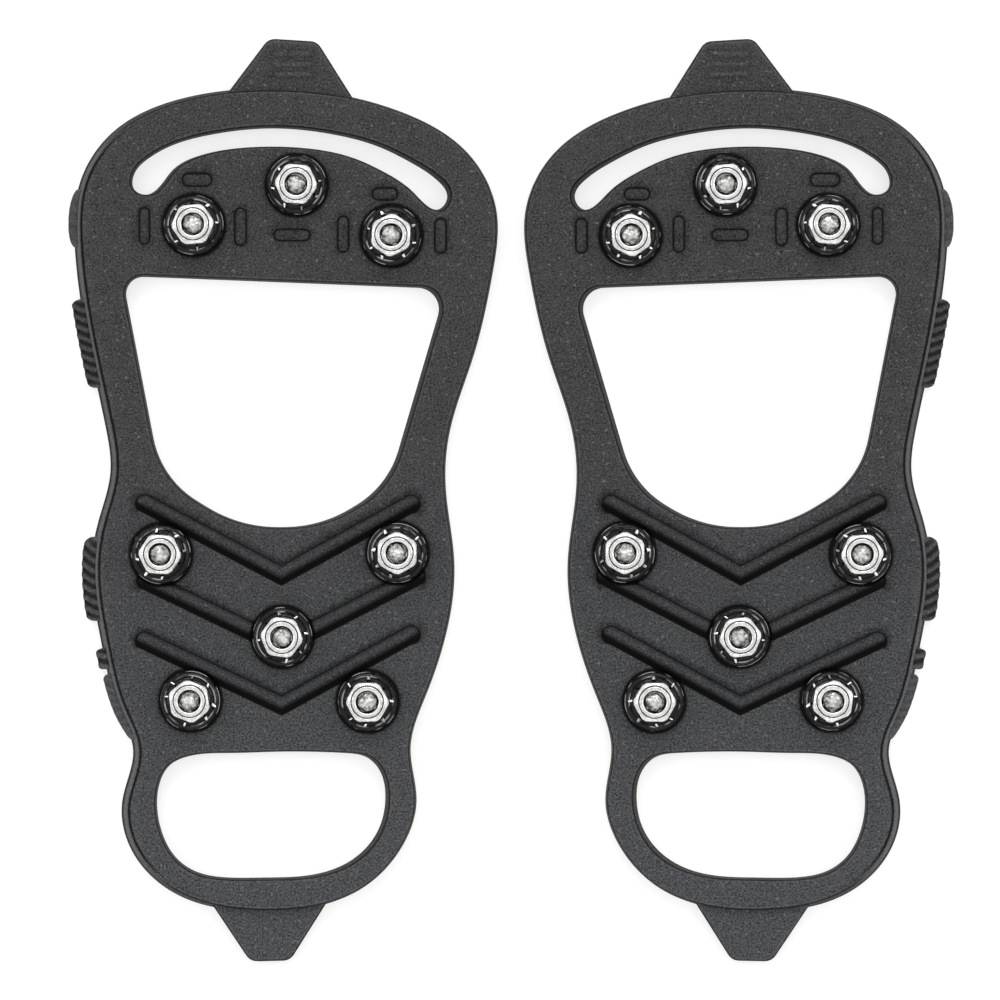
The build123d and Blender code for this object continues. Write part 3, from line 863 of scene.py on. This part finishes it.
def make_studs(materials):
    """Collars, washers, rivets and caps on both cleats, in place of the CAD's."""
    for side in ("left", "right"):
        seed = 0
        for zone, studs in (("forefoot", FOREFOOT_STUDS), ("heel", HEEL_STUDS)):
            body = side + "_" + zone
            seeds = range(seed, seed + len(studs))
            seed += len(studs)
            made = [
                ([collar_shell()] * len(studs), studs, "collars", "glossy_collar", body + "_collars"),
                ([washer_shell(k) for k in seeds], studs, "washers", "tooth_steel", body + "_tooth_washers"),
                ([rivet_shell(k) for k in seeds], studs, "rivets", "rivet_steel", body + "_rivets"),
            ]
            for stud in studs:
                node = side + "_stud_cap_" + stud[0]
                made.append(([cap_shell()], [stud], "cap_" + stud[0], "cap_steel", node))
            for shells, places, name, slot, node in made:
                bm = at_studs(shells, places)
                obj = placed(bm, side, body + "_shown_" + name, materials[slot])
                bm.free()
                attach(obj, body)
                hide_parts(node)


# ---- Materials ----

def new_material(name, colour, roughness, metallic=0.0):
    material = bpy.data.materials.new(name)
    material.use_nodes = True
    shader = material.node_tree.nodes["Principled BSDF"]
    shader.inputs["Base Color"].default_value = (*colour, 1)
    shader.inputs["Roughness"].default_value = roughness
    shader.inputs["Metallic"].default_value = metallic
    return material, material.node_tree, shader


def noise_at(tree, size, detail=2.0, roughness=0.5):
    """A noise pattern with features of a size in metres."""
    place = tree.nodes.new("ShaderNodeTexCoord")
    pattern = tree.nodes.new("ShaderNodeTexNoise")
    pattern.inputs["Scale"].default_value = 1 / size
    pattern.inputs["Detail"].default_value = detail
    pattern.inputs["Roughness"].default_value = roughness
    tree.links.new(place.outputs["Object"], pattern.inputs["Vector"])
    return pattern.outputs["Fac"]


def stretched(tree, value, low, high, to_low, to_high):
    """A value between low and high, mapped to another range."""
    node = tree.nodes.new("ShaderNodeMapRange")
    node.inputs["From Min"].default_value = low
    node.inputs["From Max"].default_value = high
    node.inputs["To Min"].default_value = to_low
    node.inputs["To Max"].default_value = to_high
    tree.links.new(value, node.inputs["Value"])
    return node.outputs["Result"]


def mixed(tree, factor, first, second):
    """A colour between two colours or colour sockets."""
    node = tree.nodes.new("ShaderNodeMix")
    node.data_type = "RGBA"
    tree.links.new(factor, node.inputs["Factor"])
    for socket, value in (("A", first), ("B", second)):
        target = [s for s in node.inputs if s.name == socket and s.type == "RGBA"][0]
        if isinstance(value, tuple):
            target.default_value = (*value, 1)
        else:
            tree.links.new(value, target)
    return [s for s in node.outputs if s.type == "RGBA"][0]


def bumped(tree, shader, height, strength, distance):
    node = tree.nodes.new("ShaderNodeBump")
    node.inputs["Strength"].default_value = strength
    node.inputs["Distance"].default_value = distance
    tree.links.new(height, node.inputs["Height"])
    tree.links.new(node.outputs["Normal"], shader.inputs["Normal"])


def painted_shade(tree):
    """How much shade is painted on the surface, from 0 to 1, as the mesh's negative tint says."""
    tint = tree.nodes.new("ShaderNodeAttribute")
    tint.attribute_name = "tint"
    return stretched(tree, tint.outputs["Fac"], 0, -1, 0, 1)


def with_painted_shade_and_highlights(tree, colour, dark, pale):
    """The colour with painted shade where the mesh's tint is negative and painted highlights where it is
    positive.
    """
    tint = tree.nodes.new("ShaderNodeAttribute")
    tint.attribute_name = "tint"
    painted_highlight = stretched(tree, tint.outputs["Fac"], 0, 1, 0, 1)
    return mixed(tree, painted_highlight, mixed(tree, painted_shade(tree), colour, dark), pale)


def rubber():
    """Matt black rubber with a fine moulded grain, a little paler and bluer towards the heel, with painted
    shade in its hollows and painted highlights along its edges.
    """
    material, tree, shader = new_material("black_rubber", (0.03, 0.03, 0.032), 0.62)
    shader.inputs["Specular IOR Level"].default_value = 0.16
    grain = noise_at(tree, 0.00042, 2.0, 0.7)
    cloud = noise_at(tree, 0.003, 3.0, 0.6)
    specks = noise_at(tree, 0.0008, 1.0, 0.5)
    raised = stretched(tree, grain, 0.34, 0.7, 0, 1)
    speckled = mixed(tree, raised, (0.0055, 0.0055, 0.0057), (0.071, 0.0715, 0.073))
    in_clouds = stretched(tree, cloud, 0.4, 0.7, 0.0, 0.35)
    cloudy = mixed(tree, in_clouds, speckled, (0.055, 0.055, 0.057))
    pale_grain = mixed(tree, raised, (0.012, 0.013, 0.015), (0.12, 0.126, 0.136))
    place = tree.nodes.new("ShaderNodeTexCoord")
    split = tree.nodes.new("ShaderNodeSeparateXYZ")
    tree.links.new(place.outputs["Object"], split.inputs["Vector"])
    to_heel = stretched(tree, split.outputs["Y"], 0.02, -0.08, 0.0, 0.65)
    heelward = mixed(tree, to_heel, cloudy, pale_grain)
    in_specks = stretched(tree, specks, 0.66, 0.76, 0, 0.6)
    dusty = mixed(tree, in_specks, heelward, (0.16, 0.16, 0.165))
    # Painted shade in hollows, on flanks and along feet, and painted highlights along edges, from the mesh's
    # tint.
    base = with_painted_shade_and_highlights(tree, dusty, (0.001, 0.001, 0.0011), (0.12, 0.12, 0.124))
    tree.links.new(base, shader.inputs["Base Color"])
    rough = tree.nodes.new("ShaderNodeMath")
    rough.operation = "MAXIMUM"
    tree.links.new(stretched(tree, grain, 0.35, 0.7, 0.75, 0.5), rough.inputs[0])
    tree.links.new(painted_shade(tree), rough.inputs[1])
    tree.links.new(rough.outputs["Value"], shader.inputs["Roughness"])
    bumped(tree, shader, grain, 0.5, 0.0002)
    return material


def collar_gloss():
    """Glossy black collar with faint moulding waves, with painted highlights in pale patches along its
    ridges and painted shade in its groove.
    """
    material, tree, shader = new_material("glossy_collar", (0.006, 0.006, 0.0065), 0.16)
    shader.inputs["Specular IOR Level"].default_value = 0.25
    waves = noise_at(tree, 0.0016, 2.0, 0.5)
    patches = noise_at(tree, 0.0035, 1.0, 0.5)
    # Pale patches where the tint marks ridges: painted highlights.
    painted_highlight = stretched(tree, patches, 0.48, 0.6, 0, 1)
    pale = mixed(tree, painted_highlight, (0.006, 0.006, 0.0065), (0.45, 0.45, 0.45))
    base = with_painted_shade_and_highlights(tree, (0.004, 0.004, 0.0043), (0.001, 0.001, 0.001), pale)
    tree.links.new(base, shader.inputs["Base Color"])
    tree.links.new(stretched(tree, waves, 0.35, 0.7, 0.1, 0.35), shader.inputs["Roughness"])
    bumped(tree, shader, waves, 0.8, 0.0004)
    return material


def steel(name, bright, dull, wear_size, low_rough, high_rough, bump):
    """Bare steel with wear, painted shade where the mesh's tint marks hollows and painted highlights where
    it marks rims.
    """
    material, tree, shader = new_material(name, bright, low_rough, 1.0)
    wear = noise_at(tree, wear_size, 4.0, 0.6)
    colour = mixed(tree, stretched(tree, wear, 0.35, 0.65, 0, 1), bright, dull)
    # Painted shade and painted highlights from the mesh's tint.
    colour = with_painted_shade_and_highlights(tree, colour, (0.015, 0.015, 0.015), (0.97, 0.97, 0.96))
    tree.links.new(colour, shader.inputs["Base Color"])
    tree.links.new(stretched(tree, wear, 0.35, 0.65, low_rough, high_rough), shader.inputs["Roughness"])
    bumped(tree, shader, wear, bump, 0.0002)
    return material


def make_materials():
    return {
        "black_rubber": rubber(),
        "glossy_collar": collar_gloss(),
        "cap_steel": steel("cap_steel", (0.94, 0.94, 0.93), (0.5, 0.5, 0.49), 0.0007, 0.16, 0.34, 0.4),
        "tooth_steel": steel("tooth_steel", (0.92, 0.92, 0.92), (0.7, 0.7, 0.7), 0.0006, 0.12, 0.25, 0.2),
        "rivet_steel": steel("rivet_steel", (0.75, 0.75, 0.74), (0.14, 0.14, 0.14), 0.0008, 0.25, 0.5, 0.8),
    }


# ---- Floor, light and camera ----

def make_floor():
    """A pale floor, lit a little by itself so that it comes out plain white."""
    mesh = bpy.data.meshes.new("floor")
    half = 3.0
    height = -0.0002             # just clear of the cleats' flat undersides
    corners = [(x * half, y * half, height) for x, y in ((-1, -1), (1, -1), (1, 1), (-1, 1))]
    mesh.from_pydata(corners, [], [(0, 1, 2, 3)])
    material, tree, shader = new_material("floor_white", (0.48, 0.48, 0.48), 0.9)
    shader.inputs["Emission Color"].default_value = (1.0, 1.0, 0.995, 1)
    shader.inputs["Emission Strength"].default_value = 0.6
    shader.inputs["Specular IOR Level"].default_value = 0.0
    mesh.materials.append(material)
    floor = bpy.data.objects.new("floor", mesh)
    bpy.context.scene.collection.objects.link(floor)


def make_light(name, place, size, brightness):
    """A soft box that faces the pair, with its brightness as radiance."""
    data = bpy.data.lights.new(name, "AREA")
    data.shape = "RECTANGLE"
    data.size, data.size_y = size
    data.energy = brightness * math.pi * size[0] * size[1]
    light = bpy.data.objects.new(name, data)
    light.location = place
    light.rotation_euler = (-Vector(place)).to_track_quat("-Z", "Y").to_euler()
    bpy.context.scene.collection.objects.link(light)


def make_lighting():
    """A bright even surround, with soft boxes all round that are brightest at the toe side."""
    world = bpy.data.worlds.new("studio")
    world.use_nodes = True
    sky = world.node_tree.nodes["Background"]
    sky.inputs["Color"].default_value = (1.0, 1.0, 1.0, 1)
    sky.inputs["Strength"].default_value = 0.9
    bpy.context.scene.world = world
    make_light("toe_side", (0.0, 1.4, 1.2), (1.4, 0.6), 4.2)
    make_light("outer_left", (-1.4, 0.3, 1.2), (0.7, 1.0), 2.0)
    make_light("outer_right", (1.4, 0.3, 1.2), (0.7, 1.0), 2.0)
    make_light("heel_side", (0.0, -1.5, 1.0), (1.2, 0.4), 1.2)


def make_camera():
    """Straight above the pair, through a long lens."""
    sensor = 36.0
    distance = 1.5
    frame_width = 0.2324
    aim_x = -0.00256
    data = bpy.data.cameras.new("camera")
    data.sensor_width = sensor
    data.lens = sensor * distance / frame_width
    data.clip_end = 20
    camera = bpy.data.objects.new("camera", data)
    camera.location = (aim_x, 0, distance + THICK * MM)
    bpy.context.scene.collection.objects.link(camera)
    bpy.context.scene.camera = camera


materials = make_materials()
make_rubber(materials["black_rubber"])
make_studs(materials)
make_floor()
make_lighting()
make_camera()
bpy.context.scene.view_settings.view_transform = "Standard"
